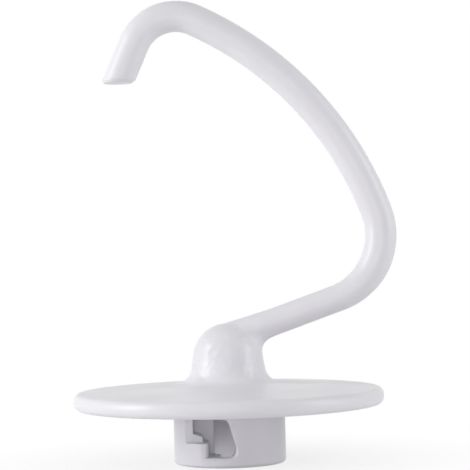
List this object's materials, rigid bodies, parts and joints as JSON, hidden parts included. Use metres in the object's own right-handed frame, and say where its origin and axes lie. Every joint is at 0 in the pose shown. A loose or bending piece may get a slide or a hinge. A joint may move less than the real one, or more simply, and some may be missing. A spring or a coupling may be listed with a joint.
{
  "type": "stand mixer dough hook",
  "caption": "Cast C-shaped dough hook with a round guard disc and a hub with a bayonet socket for a stand mixer's drive shaft.",
  "frame": {"origin": "centre of the drive socket's mouth, on the hub's flat end", "axes": "+Z along the socket's axis towards the hook's top; the hook lies in the XZ plane, +X towards its belly; the bayonet window faces -Y"},
  "size_m": [0.1171, 0.111, 0.1659],
  "materials": {
    "coated_casting": "satin white coat on a casting"
  },
  "bodies": {
    "root": {"dough_hook": "coated_casting"}
  },
  "joints": []
}
